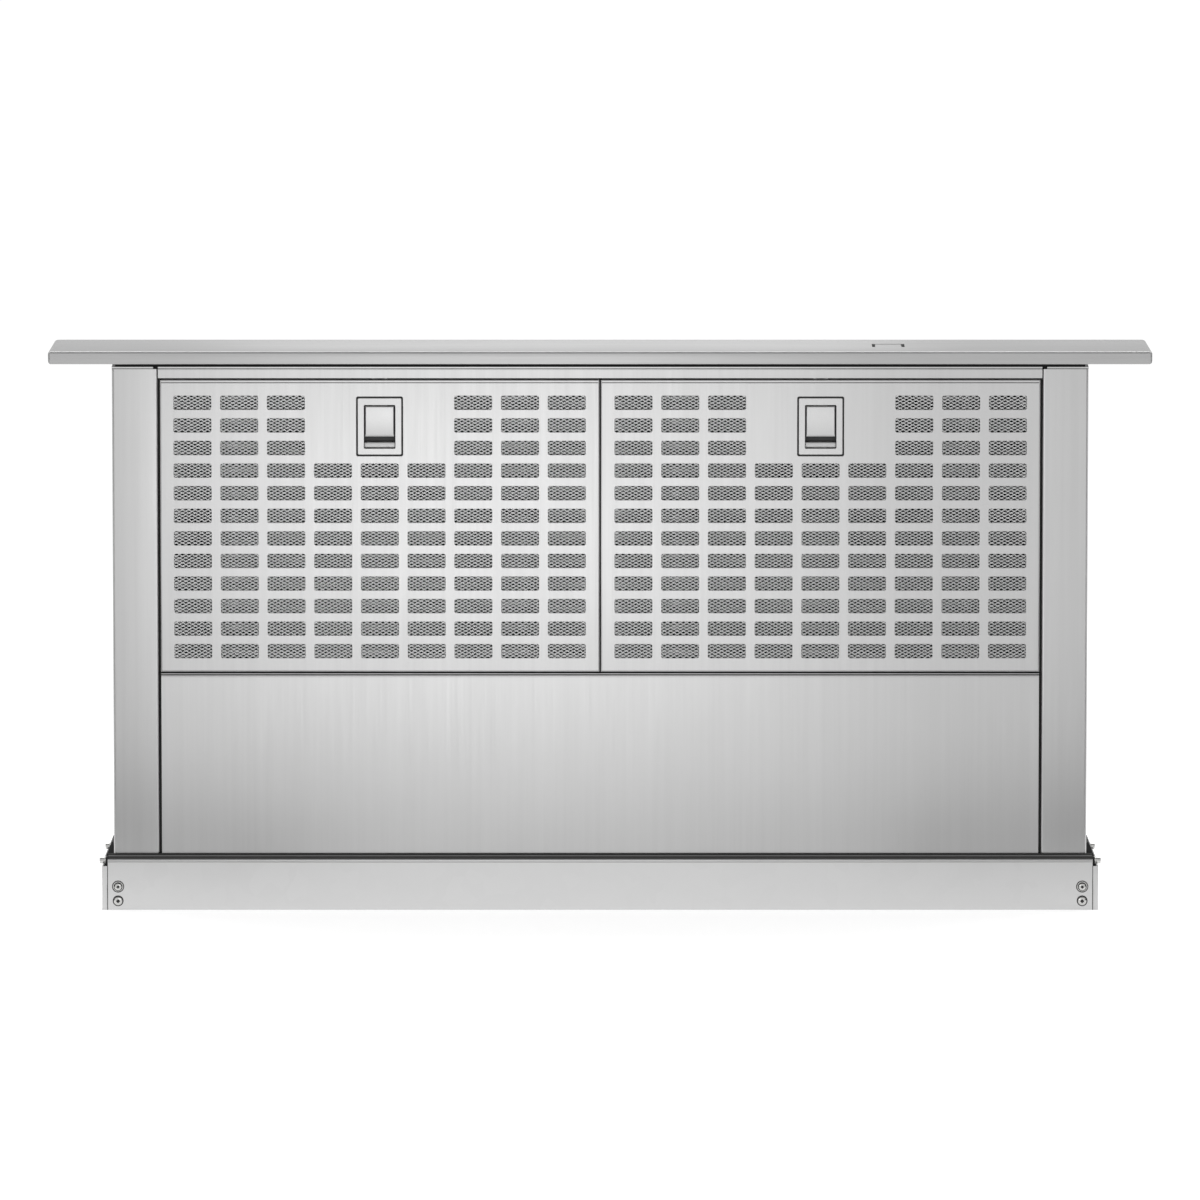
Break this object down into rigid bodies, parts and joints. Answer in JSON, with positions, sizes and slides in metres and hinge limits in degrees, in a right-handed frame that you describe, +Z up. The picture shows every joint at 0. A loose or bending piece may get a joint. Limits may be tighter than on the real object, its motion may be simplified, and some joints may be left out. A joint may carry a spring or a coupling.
{
  "type": "downdraft vent",
  "caption": "Slim extractor that rises behind a cooktop: a column with slotted grease filters and a flat cap on a galvanised chassis with its lift drive and duct outlet.",
  "frame": {"origin": "on the floor under the middle of the raised vent", "axes": "+Z up, the filters and the outlet face -Y, X along the counter"},
  "size_m": [0.762, 0.12, 1.0056],
  "materials": {
    "galvanised_steel": "matte zinc coat with a faint spangle",
    "stainless_upright": "satin, brushed upright",
    "stainless_cap": "satin, brushed along its length",
    "filter_mesh": "bare expanded mesh",
    "filter_frame": "mill finish",
    "satin_latch": "fine bead-blasted satin",
    "spring_steel": "bright spring strip",
    "wiper_rubber": "matte black",
    "guide_plastic": "matte black",
    "pad_nylon": "natural nylon",
    "seal_felt": "dense black felt",
    "zinc_fasteners": "bright zinc plate",
    "lead_screw_steel": "rolled thread, oiled",
    "pulley_alloy": "turned",
    "belt_rubber": "toothed, matte black",
    "motor_black": "semi-matte black",
    "nut_brass": "machined",
    "circuit_board": "lacquered board"
  },
  "bodies": {
    "chassis": {"chassis_front_panel": "galvanised_steel", "chassis_rear_panel": "galvanised_steel", "side_channel_left": "galvanised_steel", "side_channel_right": "galvanised_steel", "bottom_pan": "galvanised_steel", "wiper_seals": "wiper_rubber", "side_guide_left": "guide_plastic", "side_guide_right": "guide_plastic", "guide_screws": "zinc_fasteners", "panel_screws": "zinc_fasteners", "duct_collar": "galvanised_steel", "service_cover": "galvanised_steel", "control_box": "galvanised_steel", "control_box_lid": "galvanised_steel", "control_board": "circuit_board", "cable_gland": "guide_plastic", "screw_bearings": "pad_nylon", "sync_belt": "belt_rubber", "drive_belt": "belt_rubber", "gearmotor": "motor_black", "motor_bracket": "galvanised_steel", "limit_switches": "guide_plastic", "foot_bolts": "zinc_fasteners"},
    "column": {"post_left": "stainless_upright", "post_right": "stainless_upright", "header_rail": "stainless_upright", "lower_front_panel": "stainless_upright", "column_rear_panel": "stainless_upright", "filter_seat_frame": "galvanised_steel", "centre_mullion": "galvanised_steel", "bottom_ring": "galvanised_steel", "slide_seals": "seal_felt", "glide_pads": "pad_nylon", "lift_nuts": "nut_brass", "cap": "stainless_cap", "cap_rail": "galvanised_steel", "cap_screws": "zinc_fasteners", "push_switch": "guide_plastic", "keeper_spring_left": "spring_steel", "keeper_spring_right": "spring_steel"},
    "foot_left": {"foot_left": "galvanised_steel"},
    "foot_right": {"foot_right": "galvanised_steel"},
    "screw_left": {"lead_screw_left": "lead_screw_steel", "pulley_left": "pulley_alloy"},
    "screw_right": {"lead_screw_right": "lead_screw_steel", "pulley_right": "pulley_alloy"},
    "motor_shaft": {"motor_pulley": "pulley_alloy"},
    "button": {"power_button": "stainless_cap"},
    "filter_left": {"filter_face_left": "stainless_upright", "filter_mesh_left": "filter_mesh", "filter_back_left": "filter_frame", "latch_housing_left": "satin_latch", "latch_spring_left": "spring_steel"},
    "latch_left": {"latch_tab_left": "satin_latch"},
    "filter_right": {"filter_face_right": "stainless_upright", "filter_mesh_right": "filter_mesh", "filter_back_right": "filter_frame", "latch_housing_right": "satin_latch", "latch_spring_right": "spring_steel"},
    "latch_right": {"latch_tab_right": "satin_latch"}
  },
  "joints": [
    {"name": "column_lift", "type": "slide", "parent": "chassis", "child": "column", "axis": [0, 0, 1], "range_m": [-0.338, 0]},
    {"name": "screw_left_turn", "type": "hinge", "parent": "chassis", "child": "screw_left", "pos_m": [-0.3215, 0, 0.1], "axis": [0, 0, 1], "range_deg": [0, 12170]},
    {"name": "screw_right_turn", "type": "hinge", "parent": "chassis", "child": "screw_right", "pos_m": [0.3215, 0, 0.1], "axis": [0, 0, 1], "range_deg": [0, 12170]},
    {"name": "motor_turn", "type": "hinge", "parent": "chassis", "child": "motor_shaft", "pos_m": [0.2595, 0, 0.05], "axis": [0, 0, 1], "range_deg": [0, 12170]},
    {"name": "filter_left_tilt", "type": "hinge", "parent": "column", "child": "filter_left", "pos_m": [-0.15245, -0.025, 0.7817], "axis": [1, 0, 0], "range_deg": [0, 20], "deforming": ["keeper_spring_left"]},
    {"name": "filter_right_tilt", "type": "hinge", "parent": "column", "child": "filter_right", "pos_m": [0.15245, -0.025, 0.7817], "axis": [1, 0, 0], "range_deg": [0, 20], "deforming": ["keeper_spring_right"]},
    {"name": "latch_left_pull", "type": "slide", "parent": "filter_left", "child": "latch_left", "axis": [0, 0, -1], "range_m": [0, 0.006], "stiffness_N_per_m": 300, "springref_m": -0.004, "deforming": ["latch_spring_left"]},
    {"name": "latch_right_pull", "type": "slide", "parent": "filter_right", "child": "latch_right", "axis": [0, 0, -1], "range_m": [0, 0.006], "stiffness_N_per_m": 300, "springref_m": -0.004, "deforming": ["latch_spring_right"]},
    {"name": "button_press", "type": "slide", "parent": "column", "child": "button", "axis": [0, 0, -1], "range_m": [0, 0.001], "stiffness_N_per_m": 800, "springref_m": -0.001},
    {"name": "foot_left_adjust", "type": "slide", "parent": "chassis", "child": "foot_left", "axis": [0, 0, -1], "range_m": [0, 0.05]},
    {"name": "foot_right_adjust", "type": "slide", "parent": "chassis", "child": "foot_right", "axis": [0, 0, -1], "range_m": [0, 0.05]}
  ],
  "couplings": [
    {"joint": "screw_left_turn", "follows": "column_lift", "rad_per_m": -628.32},
    {"joint": "screw_right_turn", "follows": "column_lift", "rad_per_m": -628.32},
    {"joint": "motor_turn", "follows": "column_lift", "rad_per_m": -628.32}
  ]
}
